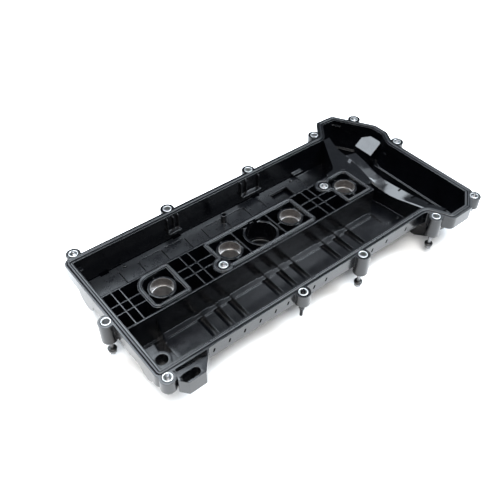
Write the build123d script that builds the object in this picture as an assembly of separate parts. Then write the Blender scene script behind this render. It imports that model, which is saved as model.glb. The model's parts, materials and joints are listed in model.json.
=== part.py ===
"""Valve cover of an inline four, lying on its outer side with the open side up.

Drawing datum: axis of the first plug tube on the sealing plane.
X runs along the row of plug tubes towards the timing end, Y across the cover,
Z up out of the open side. place() moves every solid into the final frame.
"""
import os
from math import atan2, cos, degrees, hypot, pi, sin

from build123d import *

os.makedirs("parts", exist_ok=True)

# ------------------------------------------------------------------ driving dimensions, mm
PITCH = 96.0            # cylinder to cylinder
RIM = 9.5               # width of the sealing rim
SKIRT = 18.0            # height of the flange skirt
FLOOR = 41.0            # sealing plane to the trough floor
WALL = 3.0
BASE = 66.0             # sealing plane to the lowest face
TIMING_FLOOR = 62.0
TUBE_TOP = 5.6          # plug tubes stop this far below the sealing plane
TUBE_R = 16.5
TUBE_BORE = 13.5        # seat for the engine's plug tube, open side
LINER_SEAT = 14.0       # wider bore below it for the pressed-in liner
LINER_TOP = 17.0
OIL_X = 1.5 * PITCH
OIL_R = 22.4
OIL_BORE = 19.4
BAFFLE_TOP = 36.0
BAFFLE_T = 1.8
GROOVE_FLOOR = 5.0      # cross grooves below the trough floor

BOSS_R = 9.0
SLEEVE_R = 5.45
SLEEVE_HOLE = 5.5
SLEEVE_BORE = 4.4
SLEEVE_NECK = 2.65
SHANK_R = 2.3
THREAD_R = 3.0
SHORT = 16.5            # boss height, short bolts
LONG = 29.0             # boss height, long bolts
DROP = {SHORT: 10.0, LONG: 16.0}    # how far a captive bolt can fall

GROOVE_OUT = 3.0        # gasket groove, measured in from the rim's outer edge
GROOVE_IN = 6.6
GROOVE_D = 3.4
BEAD_GAP = 0.3
BEAD_UP = 0.9

# Final frame: centre of the bounding box in plan, on the lowest face.
SHIFT = (-169.15, 3.858, BASE)

# Rim outline: x, y, corner radius, then how far the inner and outer wall lean in at floor level.
OUTLINE = [
    (-72.0, -104.5, 8.0, 22.0, 19.0),
    (329.0, -104.5, 10.0, 24.0, 21.0),
    (344.0, -135.5, 9.0, 27.0, 24.0),
    (380.0, -135.5, 9.0, 20.0, 17.0),
    (408.5, -114.0, 8.0, 14.0, 11.0),
    (408.5, 26.0, 12.0, 14.0, 11.0),
    (419.8, 46.0, 10.0, 14.0, 11.0),
    (419.8, 69.0, 10.0, 14.0, 11.0),
    (386.0, 126.5, 8.0, 13.0, 10.0),
    (355.0, 128.0, 9.0, 13.0, 10.0),
    (333.0, 99.4, 9.0, 12.0, 9.0),
    (-72.0, 99.4, 9.0, 14.0, 11.0),
]
CORNERS = [(row[0], row[1]) for row in OUTLINE]
RADII = [row[2] for row in OUTLINE]
LEAN_IN = [row[3] for row in OUTLINE]
LEAN_OUT = [row[4] for row in OUTLINE]

# Fastener positions: name, x, y, boss height, True when the bolt has dropped in its sleeve.
RIM_BOLTS = [
    ("01", -55.2, 103.7, SHORT, False),
    ("02", 75.2, 102.8, LONG, True),
    ("03", 205.6, 102.1, LONG, True),
    ("04", 331.8, 106.9, LONG, True),
    ("05", 407.1, 100.7, SHORT, False),
    ("06", 413.9, 21.5, SHORT, False),
    ("07", 401.2, -122.2, SHORT, False),
    ("08", 330.9, -117.7, LONG, True),
    ("09", 210.4, -107.9, LONG, True),
    ("10", 116.0, -107.7, SHORT, False),
    ("11", -62.8, -107.6, SHORT, False),
    ("12", -75.6, -9.0, LONG, True),
]
CENTRE_BOLTS = [
    ("13", 71.8, -19.8, SHORT, False),
    ("14", 262.0, 13.0, SHORT, False),
]
STUD = "10"

STRIP_NEAR = -32.8
STRIP_FAR = 25.2
STRIP_END = 309.5
TUBES = [i * PITCH for i in range(4)]


# ------------------------------------------------------------------ helpers
def place(solid):
    return Pos(*SHIFT) * solid


def save(name, solid):
    export_step(place(solid), f"parts/{name}.step")


def block(x0, x1, y0, y1, z0, z1):
    size = (x1 - x0, y1 - y0, z1 - z0)
    return Pos((x0 + x1) / 2, (y0 + y1) / 2, (z0 + z1) / 2) * Box(*size)


def rod(x, y, r, z0, z1):
    return Pos(x, y, (z0 + z1) / 2) * Cylinder(r, z1 - z0)


def tube(x, y, r_out, r_in, z0, z1):
    return rod(x, y, r_out, z0, z1) - rod(x, y, r_in, z0 - 1, z1 + 1)


def inset(points, amount):
    """Polygon moved inwards; amount is one number or one per edge."""
    n = len(points)
    amounts = amount if isinstance(amount, list) else [amount] * n
    lines = []
    for i in range(n):
        (x0, y0), (x1, y1) = points[i], points[(i + 1) % n]
        length = hypot(x1 - x0, y1 - y0)
        nx, ny = -(y1 - y0) / length, (x1 - x0) / length
        d = amounts[i]
        lines.append((x0 + nx * d, y0 + ny * d, x1 - x0, y1 - y0))
    moved = []
    for i in range(n):
        ax, ay, adx, ady = lines[i - 1]
        bx, by, bdx, bdy = lines[i]
        cross = adx * bdy - ady * bdx
        t = ((bx - ax) * bdy - (by - ay) * bdx) / cross
        moved.append((ax + adx * t, ay + ady * t))
    return moved


def polygon(points, z=0.0):
    return Pos(0, 0, z) * make_face(Polyline(*points, close=True))


def slab(points, z0, z1):
    return extrude(polygon(points, z0), z1 - z0, dir=(0, 0, 1))


def rim_face(depth_in):
    """Rim outline moved inwards by depth_in, with its corners rounded to match."""
    points = inset(CORNERS, depth_in)
    face = polygon(points)
    n = len(points)
    for i in range(n):
        (x0, y0), (x1, y1), (x2, y2) = points[i - 1], points[i], points[(i + 1) % n]
        convex = (x1 - x0) * (y2 - y1) - (y1 - y0) * (x2 - x1) > 0
        radius = RADII[i] - depth_in if convex else RADII[i] + depth_in
        corner = face.vertices().sort_by_distance((x1, y1, 0))[0]
        face = fillet(corner, max(radius, 1.0))
    return face


def rim_slab(depth_in, z0, z1):
    return extrude(Pos(0, 0, z0) * rim_face(depth_in), z1 - z0, dir=(0, 0, 1))


def taper(points_top, z_top, points_low, z_low):
    return loft([polygon(points_low, z_low), polygon(points_top, z_top)], ruled=True)


def rounded_box(x0, x1, y0, y1, radii):
    """Plan outline with one radius per corner: low-low, high-low, high-high, low-high."""
    points = [(x0, y0), (x1, y0), (x1, y1), (x0, y1)]
    face = polygon(points)
    for (x, y), r in zip(points, radii):
        corner = face.vertices().sort_by_distance((x, y, 0))[0]
        face = fillet(corner, r)
    return face


def up(face, z0, z1):
    return extrude(Pos(0, 0, z0) * face, z1 - z0, dir=(0, 0, 1))


# ------------------------------------------------------------------ outlines of the three inner gaskets
FRAME_W = 5.5
FRAME_1 = rounded_box(-26.0, 22.8, -29.0, 23.6, (9.0, 5.0, 5.0, 20.0))
FRAME_2 = rounded_box(71.5, 211.4, -29.0, 23.6, (3.0, 5.0, 5.0, 5.0))
FRAME_2 = FRAME_2 + Pos(71.8, -19.8) * Circle(12.6)
FRAME_3 = rounded_box(264.0, 309.0, -31.0, 23.6, (5.0, 5.0, 11.0, 16.0))
FRAME_3 = FRAME_3 + Pos(262.0, 13.0) * Circle(12.6)
FRAMES = [FRAME_1, FRAME_2, FRAME_3]


def ring_of(frame, outer, inner, z0, z1):
    return up(offset(frame, -outer), z0, z1) - up(offset(frame, -inner), z0 - 1, z1 + 1)


# ------------------------------------------------------------------ cover shell
def outer_body():
    body = rim_slab(0.0, -SKIRT, 0.0)
    body += taper(inset(CORNERS, 5.0), -SKIRT + 2, inset(CORNERS, LEAN_OUT), -FLOOR - WALL)
    body += slab(TIMING_OUT, -BASE, -30.0)
    for y, z, r in ((50.0, -18.0, 17.0), (-78.0, -15.0, 13.0)):
        bulge = Pos(-62.0, y, z) * Rot(0, 90, 0) * Cylinder(r, 19.0)
        body += bulge & block(-72.0, -52.0, -100.0, 100.0, -60.0, -5.0)
    for x in GROOVES:
        body += block(x - 12.0, x + WALL, -84.0, -36.0, -FLOOR - WALL - GROOVE_FLOOR, -FLOOR)
    body += block(-60.0, -27.0, -78.0, -33.0, -FLOOR - 9.0, -FLOOR)
    return body


GROOVES = [-26.5, 26.5, 48.8, 69.6]
GROOVES += [x + PITCH for x in (26.5, 48.8, 69.6)]
GROOVES += [x + 2 * PITCH for x in (26.5, 48.8, 69.6)]
GROOVES = GROOVES[1:]

TIMING_OUT = [(347.0, -84.0), (358.0, -97.0), (384.0, -97.0), (395.0, -88.0), (395.0, 34.0),
              (404.0, 50.0), (404.0, 66.0), (380.0, 106.0), (360.0, 108.0), (347.0, 90.0)]
TIMING_IN = inset(TIMING_OUT, 3.5)
DECK = [(336.5, 92.0), (318.3, 62.7), (303.8, 39.2), (298.5, 33.7), (284.0, 31.0), (284.0, 22.0),
        (308.0, 22.0), (308.0, -17.5), (322.3, -17.5), (330.4, 13.3), (335.6, 41.4), (336.5, 60.0),
        (343.5, 81.0), (348.0, 92.0)]
# Saddle between troughs and timing chamber: y, left edge x, its z, right edge x, its z.
SADDLE = [
    (46.0, 335.0, -4.5, 357.0, -8.0),
    (30.0, 333.0, -5.5, 354.5, -9.0),
    (13.0, 331.0, -8.0, 351.8, -10.0),
    (-2.0, 330.0, -11.5, 349.0, -11.0),
    (-15.0, 331.0, -15.5, 347.8, -11.5),
    (-28.0, 333.5, -18.5, 349.0, -12.0),
    (-40.0, 335.0, -19.5, 350.2, -12.0),
    (-53.0, 336.2, -18.0, 351.0, -11.5),
    (-66.0, 337.2, -15.0, 352.2, -11.0),
    (-80.0, 338.2, -12.0, 354.2, -10.5),
    (-93.0, 339.4, -9.5, 356.4, -10.0),
    (-112.0, 342.0, -6.5, 362.0, -8.0),
]


def cavity():
    hollow = rim_slab(RIM, -SKIRT, 1.0)
    hollow += taper(inset(CORNERS, RIM), -SKIRT, inset(CORNERS, LEAN_IN), -FLOOR)
    hollow += slab(TIMING_IN, -TIMING_FLOOR, -FLOOR + 1)
    return hollow


def groove_cut(x):
    """Cross groove in the trough floor: sloping on one side, upright on the other."""
    low = -FLOOR - GROOVE_FLOOR
    profile = [(x, -FLOOR + 0.5), (x - 8.6, -FLOOR + 0.5), (x - 3.0, low), (x, low)]
    face = Plane.XZ * make_face(Polyline(*profile, close=True))
    return Pos(0, -38.0, 0) * extrude(face, 43.0, dir=(0, -1, 0))


def strip():
    """Raised centre beam that carries the plug tubes, seen from above as an open grid."""
    body = block(-66.0, STRIP_END, STRIP_NEAR, STRIP_NEAR + 2.4, -FLOOR - 1, 0)
    body += block(-66.0, STRIP_END, STRIP_FAR - 2.6, STRIP_FAR, -FLOOR - 1, 0)
    body += block(STRIP_END - 2.6, STRIP_END, STRIP_NEAR, STRIP_FAR, -FLOOR - 1, 0)
    for x0, x1 in ((-66.0, -22.0), (20.0, 74.0), (208.0, 262.0)):
        for y in (3.0, -10.0):
            body += block(x0, x1, y - 0.9, y + 0.9, -30.0, 0)
    for x in (-51.3, -41.0, 38.8, 50.5, 229.0, 240.6):
        body += block(x - 0.9, x + 0.9, STRIP_NEAR, STRIP_FAR, -30.0, 0)
    for x in (OIL_X - 32.4, OIL_X + 21.6):
        body += block(x - 1.0, x + 1.0, -26.0, 20.0, -FLOOR - 1, -0.6)
    for frame in FRAMES:
        body += ring_of(frame, 0.0, FRAME_W, -FLOOR - 1, 0.0)
    for x in TUBES:
        body += rod(x, 0, TUBE_R, -BASE, -TUBE_TOP)
        body += block(x - 0.9, x + 0.9, -27.0, 21.0, -FLOOR - 1, -TUBE_TOP - 1)
        body += block(x - 22.0, x + 20.0, -0.9, 0.9, -FLOOR - 1, -TUBE_TOP - 1)
    body += rod(OIL_X, 0, OIL_R, -56.0, -TUBE_TOP)
    for _, x, y, _, _ in CENTRE_BOLTS:
        body += rod(x, y, 9.4, -FLOOR - WALL, 0.0)
    return body


def saddle_face(row):
    """Cross-section of the saddle in a plane of constant y."""
    y, x0, z0, x1, z1 = row
    points = [(x0 + 0.6, -FLOOR - 1), (x0, z0), (x0 + 2.0, z0 + 1.2), (x1 - 1.5, z1 + 0.4), (x1, z1 - 0.6),
              (x1, -FLOOR - 1)]
    return Pos(0, y, 0) * (Plane.XZ * make_face(Polyline(*points, close=True)))


def timing_partition():
    body = slab(DECK, -FLOOR - 1, -3.0)
    body -= slab(inset(DECK, 3.0), -FLOOR - WALL - 1, -6.0)
    for near, far in zip(SADDLE, SADDLE[1:]):
        body += loft([saddle_face(near), saddle_face(far)], ruled=True)
    body -= block(341.0, 346.0, -80.0, 30.0, -FLOOR - WALL - 1, -24.0)
    for x, y in ((352.0, -46.0), (352.4, -68.0), (356.6, -91.0)):
        cut = Rot(0, 0, -8) * block(-6.5, 2.0, -1.1, 1.1, -16.0, -5.0)
        body -= Pos(x, y, 0) * cut
    wedge = [(411.0, -63.0), (411.0, -13.0), (391.0, -29.0), (391.0, -63.0)]
    face = Plane.XZ * make_face(Polyline(*wedge, close=True))
    body += Pos(0, 78.0, 0) * extrude(face, 32.0, dir=(0, -1, 0))
    for x, y, turn in ((386.0, 115.5, -60.0), (409.0, 21.0, 90.0)):
        body += Pos(x, y, 0) * Rot(0, 0, turn) * block(-7.0, 7.0, -6.0, 2.2, -9.0, -7.4)
    return body


def inner_details():
    """Steps, ribs, bosses and ledges that stand inside the troughs."""
    edges = [-26.5 + WALL] + GROOVES
    body = None
    for i, x in enumerate(edges):
        end = (edges[i + 1] - 9.4) if i + 1 < len(edges) else 303.0
        piece = block(x, end, -40.5, STRIP_NEAR + 1, -FLOOR - 1, -FLOOR + 2.0)
        piece += block(x, x + 1.8, -84.0, STRIP_NEAR + 1, -FLOOR - 1, -FLOOR + 2.0)
        body = piece if body is None else body + piece
    gusset = [(STRIP_NEAR + 1, -4.0), (-36.0, -16.0), (-40.0, -28.0), (-47.0, -42.0), (STRIP_NEAR + 1, -42.0)]
    face = Plane.YZ * make_face(Polyline(*gusset, close=True))
    body += Pos(-28.6, 0, 0) * extrude(face, 2.0, dir=(1, 0, 0))
    body += block(-28.6, -23.5, -84.0, STRIP_NEAR + 1, -FLOOR - 9.0, -FLOOR + 2.0)
    # sensor boss in the near corner
    body += rod(*SENSOR, 11.0, -FLOOR - WALL - 8, SENSOR_TOP)
    body += block(-63.0, -46.0, -88.0, -52.0, -FLOOR - 1, SENSOR_TOP - 1.5)
    # ledge in the far corner and channels behind the far bosses
    body += block(-63.0, -54.0, 84.0, 92.0, -13.0, -11.0)
    for x0, x1 in FAR_CHANNELS:
        body += block(x0, x1, 82.5, 92.0, -25.0, -23.2)
        for x in (x0 + 0.9, x0 + 10.0, x1 - 0.9):
            body += block(x - 0.9, x + 0.9, 87.0, 92.0, -23.5, -2.6)
    body += block(273.0, 290.0, 82.5, 92.0, -31.5, -30.0)
    # shoulders under the baffle plate
    for x, y in BAFFLE_PEGS:
        body += rod(x, y, 3.6, -FLOOR - 1, -BAFFLE_TOP - BAFFLE_T - 0.05)
        body += rod(x, y, 1.9, -BAFFLE_TOP - BAFFLE_T - 1, -BAFFLE_TOP + 1.2)
    return body


SENSOR = (-50.0, -74.6)
SENSOR_TOP = -18.0
FAR_CHANNELS = [(64.0, 82.0), (181.0, 213.0)]
BAFFLE_PEGS = [(-4.5, 81.5), (266.0, 80.7), (-4.5, 36.0), (OIL_X, 36.0), (266.0, 36.0)]


def bracket():
    """Hollow lug beside the near corner boss, with an oblong slot in its top."""
    plan = [(-54.0, -100.0), (-53.5, -108.0), (-57.0, -117.4), (-50.0, -126.2), (-29.0, -126.0),
            (-9.0, -103.0)]
    body = slab(plan, -20.0, 0.0)
    body -= slab([(-52.0, -104.5), (-52.6, -107.8), (-17.5, -110.6), (-12.8, -104.5)], -21.0, 1.0)
    body += slab([(-54.0, -107.8), (-54.0, -110.4), (-19.5, -113.2), (-17.5, -110.6)], -20.0, 0.0)
    body -= Pos(-43.0, -118.9, -17.0) * extrude(SlotOverall(22.0, 9.6), 20)
    return body


def shell():
    body = outer_body()
    hollow = cavity()
    body -= hollow
    body += strip() & (rim_slab(1.0, -SKIRT, 1.0) + block(-70.0, 412.0, -100.0, 96.0, -BASE, -SKIRT))
    inside = rim_slab(RIM - 2.0, -SKIRT, 1.0)
    inside += taper(inset(CORNERS, RIM - 2.0), -SKIRT, inset(CORNERS, LEAN_OUT), -FLOOR - WALL)
    inside += slab(TIMING_OUT, -BASE, -30.0)
    body += timing_partition() & inside
    body += inner_details() & (inside + block(-66.0, 300.0, -84.0, 92.0, -FLOOR - 12.0, -FLOOR))
    for _, x, y, height, _ in RIM_BOLTS:
        body += rod(x, y, BOSS_R, -height, 0.0)
        if height == LONG:
            toward = atan2(-y, 0.0) if abs(y) > 50 else 0.0
            web = Pos(x, y, 0) * Rot(0, 0, degrees(toward)) * block(0.0, 20.0, -2.0, 2.0, -height + 3, -1.0)
            body += web - hollow
    body += bracket()
    body += rod(377.0, -127.5, 3.4, -27.0, -10.0)
    # flanges round the outer ends of the tubes and ribs between them
    for x in TUBES:
        body += block(x - 1.5, x + 1.5, -30.0, 30.0, -54.0, -FLOOR)
    body += block(-40.0, 330.0, -1.5, 1.5, -54.0, -FLOOR - 1)
    # grooves and bores
    for x in GROOVES:
        body -= groove_cut(x)
    body -= block(-56.5, -28.6, -58.0, -36.0, -FLOOR - 6.0, -FLOOR + 0.5)
    body -= block(305.0, 308.0, -60.0, -35.0, -FLOOR - 1.6, -FLOOR + 2.5)
    body -= block(309.5, 332.0, -64.0, -61.5, -FLOOR - 1.6, -FLOOR + 0.5)
    body -= up(rim_face(GROOVE_OUT), -GROOVE_D, 1.0) - up(rim_face(GROOVE_IN), -GROOVE_D - 1, 2.0)
    for frame in FRAMES:
        body -= ring_of(frame, 1.2, 4.4, -GROOVE_D, 1.0)
    for x in TUBES:
        body -= rod(x, 0, TUBE_BORE, -BASE - 1, 2.0)
        body -= rod(x, 0, LINER_SEAT, -BASE - 1, -LINER_TOP)
    body -= rod(OIL_X, 0, OIL_BORE, -BASE - 1, 2.0)
    for _, x, y, height, _ in RIM_BOLTS + CENTRE_BOLTS:
        body -= rod(x, y, SLEEVE_HOLE, -height - 1, 1.0)
    for _, x, y, height, _ in CENTRE_BOLTS:
        body -= rod(x, y, 7.2, -BASE, -height)
    for _, x, y, height, _ in RIM_BOLTS:
        if height == SHORT:
            body -= rod(x, y, 6.2, -height - 26.0, -height)
    body -= rod(*SENSOR, 6.8, -BASE, 1.0)
    for x in (-4.1, 16.2, 36.6, 57.9, 79.4, 97.5, 136.5, 155.1, 231.5, 256.5, 291.2):
        body -= Pos(x, -104.5, -9.0) * Rot(0, 18, 0) * Box(2.2, 5.0, 5.0)
    return body


# ------------------------------------------------------------------ gaskets and baffle
def perimeter_gasket():
    outer = rim_face(GROOVE_OUT + BEAD_GAP)
    inner = rim_face(GROOVE_IN - BEAD_GAP)
    return up(outer, -GROOVE_D, BEAD_UP) - up(inner, -GROOVE_D - 1, BEAD_UP + 1)


def frame_gasket(frame):
    return ring_of(frame, 1.2 + BEAD_GAP, 4.4 - BEAD_GAP, -GROOVE_D, BEAD_UP)


def baffle():
    z0 = -BAFFLE_TOP - BAFFLE_T
    z1 = -BAFFLE_TOP
    plate = block(-56.5, 277.0, STRIP_FAR + 0.6, 86.8, z0, z1)
    for x in (-30.0, 75.0, 206.0):
        plate -= block(x - 6.0, x + 6.0, 84.0, 90.0, z0 - 1, z1 + 1)
    plate -= block(222.0, 250.5, 54.5, 73.5, z0 - 1, z1 + 1)
    plate += block(220.0, 252.5, 73.5, 75.3, z0, z1 + 2.2)
    plate += block(250.5, 252.3, 54.0, 75.3, z0, z1 + 2.2)
    for k in (-1, 0, 1, 2):
        base = k * PITCH
        for x0, x1 in ((52.0, 79.0), (18.0, 44.5)):
            if base + x0 > -40.0 and base + x1 < 215.0:
                plate -= block(base + x0, base + x1, 78.0, 79.0, z0 - 1, z1 + 1)
        for x, y0 in ((11.4, 58.0), (45.5, 50.0), (80.2, 50.0)):
            if -40.0 < base + x < 215.0:
                plate -= block(base + x, base + x + 1.0, y0, 77.6, z0 - 1, z1 + 1)
    plate += tube(140.0, 71.0, 4.4, 3.0, z0, z1 + 13.0)
    plate -= rod(140.0, 71.0, 3.0, z0 - 1, z1 + 1)
    for x, y in BAFFLE_PEGS:
        plate -= rod(x, y, 2.25, z0 - 1, z1 + 1)
    return plate


# ------------------------------------------------------------------ small separate pieces
def plug_liner():
    """Rolled sleeve with an inward lip, pressed into a plug tube."""
    top = -LINER_TOP - 0.1
    liner = tube(0, 0, LINER_SEAT - 0.05, 12.4, -50.1, top)
    liner += tube(0, 0, 12.6, 11.8, top - 2.0, top)
    return liner - block(10.0, 14.5, -0.7, 0.7, -51.0, top - 2.5)


def sleeve(x, y, height):
    body = tube(x, y, SLEEVE_R, SLEEVE_BORE, -height + 2.0, 0.4)
    return body + tube(x, y, SLEEVE_R, SLEEVE_NECK, -height, -height + 2.0)


def hexagon(x, y, across, z0, z1):
    return Pos(x, y, z0) * extrude(RegularPolygon(across / 2, 6, major_radius=False), z1 - z0)


def bolt(x, y, height, dropped, stud):
    """Captive bolt: thread above the sleeve's neck, plain shank through it, head below."""
    under = -height - 0.1 - (DROP[height] if dropped else 0.0)
    tip = 3.6 - (DROP[height] if dropped else 0.0)
    neck_top = -height + 2.0
    thread_low = neck_top + 0.4 if dropped else neck_top + 0.4 + DROP[height]
    body = rod(x, y, SHANK_R, under - 4.0, thread_low)
    body += rod(x, y, THREAD_R, thread_low, tip - 1.0)
    body += Pos(x, y, tip - 0.5) * Cone(THREAD_R, 2.1, 1.0)
    if stud:
        body += rod(x, y, 4.6, under - 5.6, under - 3.6)
        body += hexagon(x, y, 6.6, under - 11.0, under - 5.6)
        body += rod(x, y, 2.4, under - 14.0, under - 11.0)
        body += rod(x, y, 1.9, under - 24.0, under - 14.0)
        return body
    body += rod(x, y, 4.9, under - 4.6, under - 3.2)
    return body + hexagon(x, y, 7.6, under - 8.6, under - 4.6)


def bolt_seal(x, y, height, dropped):
    """Domed washer under a bolt's head."""
    under = -height - 0.1 - (DROP[height] if dropped else 0.0)
    body = rod(x, y, 5.3, under - 2.2, under)
    body += Pos(x, y, under - 2.7) * Cone(4.4, 5.3, 1.0)
    return body - rod(x, y, SHANK_R + 0.02, under - 5.0, under + 1.0)


def oil_cap():
    body = rod(OIL_X, 0, 26.5, -BASE + 4.0, -57.5)
    body += rod(OIL_X, 0, OIL_BORE - 0.35, -57.5, -34.0)
    body -= rod(OIL_X, 0, OIL_BORE - 3.0, -55.0, -33.0)
    body += block(OIL_X - 24.0, OIL_X + 24.0, -5.0, 5.0, -BASE, -BASE + 5.0)
    for k in range(12):
        a = k * pi / 6
        body -= rod(OIL_X + 28.2 * cos(a), 28.2 * sin(a), 3.4, -BASE - 1, -56.0)
    return body


def cap_seal():
    return tube(OIL_X, 0, 22.6, OIL_BORE - 0.3, -57.5, -56.05)


def clip():
    """Small bent spring tab standing on the deck."""
    profile = [(327.0, -3.0), (330.0, 1.0), (333.0, -3.0), (331.6, -3.0), (330.0, -0.8), (328.4, -3.0)]
    face = Plane.XZ * make_face(Polyline(*profile, close=True))
    return Pos(0, 34.0, 0) * extrude(face, 5.0, dir=(0, -1, 0))


# ------------------------------------------------------------------ write one file per node
save("cover_shell", shell())
save("perimeter_gasket", perimeter_gasket())
save("plug_gasket_1", frame_gasket(FRAME_1))
save("plug_gasket_2", frame_gasket(FRAME_2))
save("plug_gasket_3", frame_gasket(FRAME_3))
save("baffle_plate", baffle())
save("deck_clip", clip())
for index, x in enumerate(TUBES):
    save(f"plug_liner_{index + 1}", Pos(x, 0, 0) * plug_liner())
for name, x, y, height, dropped in RIM_BOLTS + CENTRE_BOLTS:
    save(f"sleeve_{name}", sleeve(x, y, height))
    save(f"bolt_{name}", bolt(x, y, height, dropped, name == STUD))
    save(f"bolt_seal_{name}", bolt_seal(x, y, height, dropped))
save("oil_cap", oil_cap())
save("cap_seal", cap_seal())
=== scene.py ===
"""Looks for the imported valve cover: materials, light and camera round the CAD frame."""

import json
from math import cos, pi, radians, sin, tau

import bpy
from mathutils import Matrix, Vector


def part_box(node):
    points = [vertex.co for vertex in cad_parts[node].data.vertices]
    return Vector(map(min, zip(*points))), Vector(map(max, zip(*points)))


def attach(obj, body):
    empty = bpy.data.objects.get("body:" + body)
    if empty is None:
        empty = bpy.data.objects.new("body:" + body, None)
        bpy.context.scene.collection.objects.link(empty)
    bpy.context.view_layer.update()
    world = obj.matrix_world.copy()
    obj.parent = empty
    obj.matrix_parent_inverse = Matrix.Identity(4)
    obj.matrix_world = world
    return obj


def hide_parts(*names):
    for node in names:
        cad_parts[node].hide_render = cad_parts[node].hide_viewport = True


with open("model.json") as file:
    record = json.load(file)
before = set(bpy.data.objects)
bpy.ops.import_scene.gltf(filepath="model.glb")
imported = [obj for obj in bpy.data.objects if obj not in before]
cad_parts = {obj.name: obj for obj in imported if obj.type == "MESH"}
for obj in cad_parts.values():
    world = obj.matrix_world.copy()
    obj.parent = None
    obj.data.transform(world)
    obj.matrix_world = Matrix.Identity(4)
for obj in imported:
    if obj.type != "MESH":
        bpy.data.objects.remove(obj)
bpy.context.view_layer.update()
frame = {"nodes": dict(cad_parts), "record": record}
NODES = frame["nodes"]
scene = bpy.context.scene

# ------------------------------------------------------------------ named values, metres
BUMP_STRENGTH = 0.25
GRAIN_DEPTH = 0.00004       # spark-eroded grain of the moulded plastic
STREAK_DEPTH = 0.00003      # turning marks on metal
STREAK_SCALE = (900.0, 900.0, 60.0)
PLASTIC_IOR = 1.52
RUBBER_GRAIN = 2600.0

TUBE_PITCH = 0.096          # cylinder to cylinder
TUBE_RADIUS = 0.0135
TUBE_1 = (-0.16915, 0.003858)
END_MARGIN = 0.02           # past the first and last tube's axis

WELD_DISTANCE = 0.000001
SHELL_EDGE = 0.00035        # wider edges throw points off the shell

STUD = "10"
BOLTS = 14
PUSHED_IN = 0.010           # how far a pushed-in bolt stands above its dropped place
HEX_TURN = pi / 3
THREAD_PITCH = 0.0010
THREAD_STEPS = 6            # rings to one turn of thread
THREAD_MINOR = 0.00240
THREAD_MAJOR = 0.00298


# ------------------------------------------------------------------ node helpers
def new_material(name):
    material = bpy.data.materials.new(name)
    material.use_nodes = True
    tree = material.node_tree
    tree.nodes.clear()
    out = tree.nodes.new("ShaderNodeOutputMaterial")
    shader = tree.nodes.new("ShaderNodeBsdfPrincipled")
    tree.links.new(shader.outputs["BSDF"], out.inputs["Surface"])
    coords = tree.nodes.new("ShaderNodeTexCoord")
    return material, tree, shader, coords.outputs["Object"]


def noise(tree, vector, scale, detail=3.0, rough=0.5):
    node = tree.nodes.new("ShaderNodeTexNoise")
    node.inputs["Scale"].default_value = scale
    node.inputs["Detail"].default_value = detail
    node.inputs["Roughness"].default_value = rough
    tree.links.new(vector, node.inputs["Vector"])
    return node.outputs["Fac"]


def ramp(tree, factor, stops):
    node = tree.nodes.new("ShaderNodeValToRGB")
    elements = node.color_ramp.elements
    while len(elements) < len(stops):
        elements.new(0.5)
    for element, (place, color) in zip(elements, stops):
        element.position = place
        element.color = (*color, 1.0) if len(color) == 3 else color
    tree.links.new(factor, node.inputs["Fac"])
    return node.outputs["Color"]


def grey(v):
    return (v, v, v)


def bump(tree, height, distance):
    node = tree.nodes.new("ShaderNodeBump")
    node.inputs["Strength"].default_value = BUMP_STRENGTH
    node.inputs["Distance"].default_value = distance
    tree.links.new(height, node.inputs["Height"])
    return node.outputs["Normal"]


def plastic(name, dark, light, rough_low, rough_high, grain=1400.0):
    """Moulded plastic: cloudy colour, patchy gloss and a fine spark-eroded grain."""
    material, tree, shader, at = new_material(name)
    cloud = noise(tree, at, 26.0, 5.0, 0.6)
    tree.links.new(ramp(tree, cloud, [(0.3, dark), (0.75, light)]), shader.inputs["Base Color"])
    patch = noise(tree, at, 70.0, 4.0, 0.65)
    gloss = ramp(tree, patch, [(0.3, grey(rough_low)), (0.7, grey(rough_high))])
    tree.links.new(gloss, shader.inputs["Roughness"])
    fine = noise(tree, at, grain, 2.0, 0.5)
    tree.links.new(bump(tree, fine, GRAIN_DEPTH), shader.inputs["Normal"])
    shader.inputs["IOR"].default_value = PLASTIC_IOR
    return material


def metal(name, dark, light, rough_low, rough_high):
    """Turned or drawn metal: streaks along one direction over a mottled plating."""
    material, tree, shader, at = new_material(name)
    mapping = tree.nodes.new("ShaderNodeMapping")
    mapping.inputs["Scale"].default_value = STREAK_SCALE
    tree.links.new(at, mapping.inputs["Vector"])
    lines = noise(tree, mapping.outputs["Vector"], 3.0, 4.0, 0.6)
    blotch = noise(tree, at, 160.0, 4.0, 0.6)
    tree.links.new(ramp(tree, blotch, [(0.3, dark), (0.7, light)]), shader.inputs["Base Color"])
    gloss = ramp(tree, lines, [(0.25, grey(rough_low)), (0.75, grey(rough_high))])
    tree.links.new(gloss, shader.inputs["Roughness"])
    tree.links.new(bump(tree, lines, STREAK_DEPTH), shader.inputs["Normal"])
    shader.inputs["Metallic"].default_value = 1.0
    return material


def math_node(tree, kind, a, b=0.0, c=None):
    node = tree.nodes.new("ShaderNodeMath")
    node.operation = kind
    for socket, value in zip(node.inputs, (a, b, c)):
        if value is None:
            continue
        if isinstance(value, (int, float)):
            socket.default_value = value
        else:
            tree.links.new(value, socket)
    return node.outputs[0]


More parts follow.
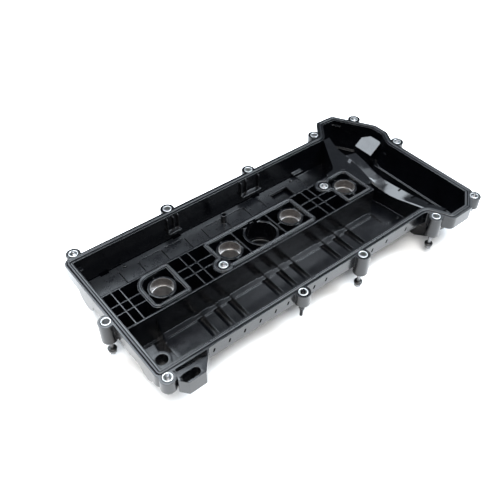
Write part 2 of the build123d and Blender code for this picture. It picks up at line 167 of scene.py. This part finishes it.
def paint_tube_bore_sheen(material):
    """Painted sheen: a paler colour band inside the four plug tubes, placed from their pitch and
    axis.
    """
    tree = material.node_tree
    shader = next(n for n in tree.nodes if n.type == "BSDF_PRINCIPLED")
    coords = next(n for n in tree.nodes if n.type == "TEX_COORD").outputs["Object"]
    split = tree.nodes.new("ShaderNodeSeparateXYZ")
    tree.links.new(coords, split.inputs[0])
    along = math_node(tree, "ADD", split.outputs[0], TUBE_1[0] * -1.0)
    across = math_node(tree, "SUBTRACT", split.outputs[1], TUBE_1[1])
    near_x = math_node(tree, "WRAP", along, TUBE_PITCH / 2, -TUBE_PITCH / 2)
    x_squared = math_node(tree, "POWER", math_node(tree, "ABSOLUTE", near_x), 2.0)
    y_squared = math_node(tree, "POWER", math_node(tree, "ABSOLUTE", across), 2.0)
    radius = math_node(tree, "SQRT", math_node(tree, "ADD", x_squared, y_squared))
    inside = math_node(tree, "LESS_THAN", radius, TUBE_RADIUS + 0.0002)
    first = math_node(tree, "GREATER_THAN", along, -END_MARGIN)
    last = math_node(tree, "LESS_THAN", along, TUBE_PITCH * 3 + END_MARGIN)
    mask = math_node(tree, "MULTIPLY", inside, math_node(tree, "MULTIPLY", first, last))
    old = shader.inputs["Base Color"].links[0].from_socket
    mix = tree.nodes.new("ShaderNodeMix")
    mix.data_type = "RGBA"
    tree.links.new(mask, mix.inputs[0])
    tree.links.new(old, mix.inputs[6])
    # painted sheen: a paler colour inside the plug tube bores standing in for light, not a real
    # finish
    bore_sheen_stops = [(0.3, (0.045, 0.040, 0.038)), (0.7, (0.085, 0.078, 0.074))]
    painted_bore_sheen = ramp(tree, noise(tree, coords, 220.0, 4.0, 0.6), bore_sheen_stops)
    tree.links.new(painted_bore_sheen, mix.inputs[7])
    tree.links.new(mix.outputs[2], shader.inputs["Base Color"])


# slot, maker, darkest and lightest colour, smoothest and roughest, further options
MATERIAL_ROWS = [
    ("cover_plastic", plastic, (0.0004, 0.0005, 0.0009), (0.0010, 0.0012, 0.0019), 0.15, 0.24),
    ("baffle_plastic", plastic, (0.0010, 0.0012, 0.0018), (0.0022, 0.0026, 0.0036), 0.24, 0.34),
    ("gasket_rubber", plastic, (0.0020, 0.0023, 0.0032), (0.0045, 0.0050, 0.0065), 0.24, 0.36,
     RUBBER_GRAIN),
    ("seal_rubber", plastic, (0.0018, 0.0018, 0.0020), (0.0036, 0.0036, 0.0040), 0.26, 0.40,
     RUBBER_GRAIN),
    ("cap_plastic", plastic, (0.0016, 0.0017, 0.0022), (0.0034, 0.0036, 0.0044), 0.28, 0.42),
    ("sleeve_steel", metal, grey(0.62), (0.76, 0.77, 0.78), 0.28, 0.42),
    ("bolt_steel", metal, (0.13, 0.13, 0.135), (0.24, 0.245, 0.25), 0.24, 0.40),
    ("liner_steel", metal, (0.42, 0.40, 0.39), (0.60, 0.58, 0.57), 0.30, 0.50),
    ("clip_steel", metal, grey(0.60), grey(0.76), 0.14, 0.28),
]
MATERIALS = {row[0]: row[1](row[0], *row[2:]) for row in MATERIAL_ROWS}
# paints a paler band inside the plug tubes as sheen
paint_tube_bore_sheen(MATERIALS["cover_plastic"])
STUD_BLACK = metal("stud_black", (0.008, 0.008, 0.009), (0.018, 0.018, 0.019), 0.28, 0.42)

for row in frame["record"]["subparts"]:
    mesh = NODES[row["node"]].data
    mesh.materials.clear()
    mesh.materials.append(MATERIALS[row["material_slot"]])
NODES[f"bolt_{STUD}"].data.materials[0] = STUD_BLACK


def soften(node, width, segments=2):
    """Round the moulded edges of a CAD node with modifiers only."""
    item = NODES[node]
    weld = item.modifiers.new("weld", "WELD")
    weld.merge_threshold = WELD_DISTANCE
    edge = item.modifiers.new("edge", "BEVEL")
    edge.width = width
    edge.segments = segments
    edge.limit_method = "ANGLE"
    edge.angle_limit = radians(32.0)
    edge.use_clamp_overlap = False
    edge.loop_slide = False
    edge.miter_outer = "MITER_ARC"
    even = item.modifiers.new("even", "WEIGHTED_NORMAL")
    even.mode = "FACE_AREA"
    even.weight = 100
    even.keep_sharp = False


soften("cover_shell", SHELL_EDGE)
soften("perimeter_gasket", 0.0009, 3)
for k in (1, 2, 3):
    soften(f"plug_gasket_{k}", 0.0008, 3)
soften("baffle_plate", 0.0003)
soften("oil_cap", 0.0008, 3)
for name in NODES:
    if name.startswith("sleeve_"):
        soften(name, 0.0003)
    if name.startswith("plug_liner_"):
        soften(name, 0.00025)


# ------------------------------------------------------------------ captive bolts and their seals
def lathe(name, center, rings, sides=32):
    """Closed skin through rings of (height, radius), bottom to top.

    A radius is a number or a function of the turning angle.
    """
    verts, faces = [], []
    for z, radius in rings:
        for k in range(sides):
            a = tau * k / sides
            r = radius(a) if callable(radius) else radius
            verts.append((center[0] + r * cos(a), center[1] + r * sin(a), z))
    for i in range(len(rings) - 1):
        for k in range(sides):
            n = (k + 1) % sides
            low, high = i * sides, (i + 1) * sides
            faces.append((low + k, low + n, high + n, high + k))
    faces.append(tuple(range(sides - 1, -1, -1)))
    faces.append(tuple((len(rings) - 1) * sides + k for k in range(sides)))
    mesh = bpy.data.meshes.new(name)
    mesh.from_pydata(verts, [], faces)
    mesh.update()
    for face in mesh.polygons:
        face.use_smooth = True
    item = bpy.data.objects.new(name, mesh)
    scene.collection.objects.link(item)
    split = item.modifiers.new("split", "EDGE_SPLIT")
    split.split_angle = radians(38.0)
    return item


def hex_radius(flat, limit):
    def radius(a):
        turn = (a + HEX_TURN / 2) % HEX_TURN - HEX_TURN / 2
        return min(flat / cos(turn), limit)
    return radius


def thread_radius(z):
    def radius(a):
        phase = (z / THREAD_PITCH - a / tau) % 1.0
        ridge = max(0.0, 1.0 - abs(phase - 0.5) * 2.6)
        return THREAD_MINOR + (THREAD_MAJOR - THREAD_MINOR) * ridge
    return radius


def screw(number):
    """Captive flange bolt: chamfered tip, rolled thread, necked shank, flange and hexagon."""
    low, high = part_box(f"bolt_{number}")
    center = ((low[0] + high[0]) / 2, (low[1] + high[1]) / 2)
    tip = high[2]
    stud = number == STUD
    under = low[2] + (0.0240 if stud else 0.0086)
    sleeve_low, sleeve_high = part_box(f"sleeve_{number}")
    dropped = under < sleeve_low[2] - 0.005
    thread_low = sleeve_low[2] + 0.0024 + (0.0 if dropped else PUSHED_IN)
    base = under - 0.0046
    rings = []
    if stud:
        rings += [(low[2], 0.0012), (low[2] + 0.0008, 0.00188), (under - 0.0142, 0.00188),
                  (under - 0.0140, 0.00235), (under - 0.0111, 0.00235)]
        base = under - 0.0056
    flat = 0.0033 if stud else 0.0038
    head_low = under - (0.0110 if stud else 0.0086)
    corner = flat / cos(HEX_TURN / 2)
    rings += [(head_low, flat * 0.93), (head_low + 0.0005, hex_radius(flat, corner)),
              (base - 0.0002, hex_radius(flat, corner)), (base, 0.0040)]
    wide = 0.0046 if stud else 0.0049
    rings += [(base + 0.0003, wide - 0.0002), (base + 0.0006, wide), (base + 0.0012, wide),
              (base + 0.0014, 0.0022), (thread_low, 0.00225)]
    z = thread_low + 0.0004
    while z < tip - 0.0018:
        rings.append((z, thread_radius(z)))
        z += THREAD_PITCH / THREAD_STEPS
    rings += [(tip - 0.0016, 0.00265), (tip - 0.0012, 0.0022), (tip - 0.0003, 0.0020),
              (tip, 0.0016), (tip - 0.0001, 0.0009), (tip - 0.0006, 0.0007)]
    item = lathe(f"screw_{number}", center, rings, 36)
    item.data.materials.append(STUD_BLACK if stud else MATERIALS["bolt_steel"])
    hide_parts(f"bolt_{number}")
    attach(item, f"captive_bolt_{number}")
    return center, under


def dome(number, center, under):
    """Moulded rubber washer with a domed outer edge, gripping the bolt's shank."""
    rings = [(under - 0.0001, 0.00236), (under - 0.0031, 0.00236), (under - 0.0031, 0.0040),
             (under - 0.0028, 0.0045), (under - 0.0023, 0.0050), (under - 0.0017, 0.00525),
             (under - 0.0010, 0.00525), (under - 0.0005, 0.0049), (under - 0.00015, 0.0042),
             (under - 0.00002, 0.0033), (under - 0.00001, 0.00237)]
    item = lathe(f"dome_{number}", center, rings, 40)
    item.data.materials.append(MATERIALS["seal_rubber"])
    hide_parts(f"bolt_seal_{number}")
    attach(item, f"captive_bolt_{number}")


for index in range(BOLTS):
    number = f"{index + 1:02d}"
    center, under = screw(number)
    dome(number, center, under)


# ------------------------------------------------------------------ stage, light, camera
floor_material, tree, shader, at = new_material("floor")
shade = ramp(tree, noise(tree, at, 3.0), [(0.3, grey(0.86)), (0.7, grey(0.88))])
tree.links.new(shade, shader.inputs["Base Color"])
shader.inputs["Roughness"].default_value = 0.9
shader.inputs["Specular IOR Level"].default_value = 0.1
bpy.ops.mesh.primitive_plane_add(size=12.0, location=(0.0, 0.0, -0.0002))
floor = bpy.context.object
floor.name = "floor"
floor.data.materials.append(floor_material)

world = bpy.data.worlds.new("studio")
scene.world = world
world.use_nodes = True
background = world.node_tree.nodes["Background"]
background.inputs["Color"].default_value = (0.80, 0.89, 1.0, 1.0)
background.inputs["Strength"].default_value = 0.25


def softbox(name, place, size, power, color=(0.84, 0.92, 1.0)):
    """Rectangular area light at a place, turned towards the origin."""
    data = bpy.data.lights.new(name, "AREA")
    data.color = color
    data.shape = "RECTANGLE"
    data.size, data.size_y = size
    data.energy = power
    light = bpy.data.objects.new(name, data)
    scene.collection.objects.link(light)
    light.location = place
    light.rotation_euler = (-Vector(place)).to_track_quat("-Z", "Y").to_euler()


softbox("key", (1.46, 0.31, 1.338), (0.8, 0.9), 5.0)
softbox("high", (0.68, 0.317, 1.854), (0.9, 0.9), 3.5)
softbox("right", (0.935, -0.477, 1.819), (1.1, 1.0), 80.0)
softbox("left", (-0.36, 0.987, 1.819), (1.4, 1.4), 60.0)
softbox("front", (-0.692, -0.855, 1.905), (1.2, 1.2), 70.0, (1.0, 0.98, 0.95))

YAW, PITCH, ROLL = radians(50.955), radians(-44.771), radians(0.456)
EYE = Vector((-0.38825, -0.42284, 0.5856))
ahead = Vector((cos(PITCH) * cos(YAW), cos(PITCH) * sin(YAW), sin(PITCH)))
level = Vector((sin(YAW), -cos(YAW), 0.0))
above = level.cross(ahead)
right = level * cos(ROLL) + above * sin(ROLL)
top = above * cos(ROLL) - level * sin(ROLL)
lens = bpy.data.cameras.new("camera")
lens.sensor_width = 36.0
lens.lens = 45.04
lens.clip_start = 0.01
camera = bpy.data.objects.new("camera", lens)
scene.collection.objects.link(camera)
turn = Matrix((right, top, -ahead)).transposed().to_4x4()
camera.matrix_world = Matrix.Translation(EYE) @ turn
scene.camera = camera
scene.view_settings.view_transform = "Standard"
scene.view_settings.exposure = 0.0
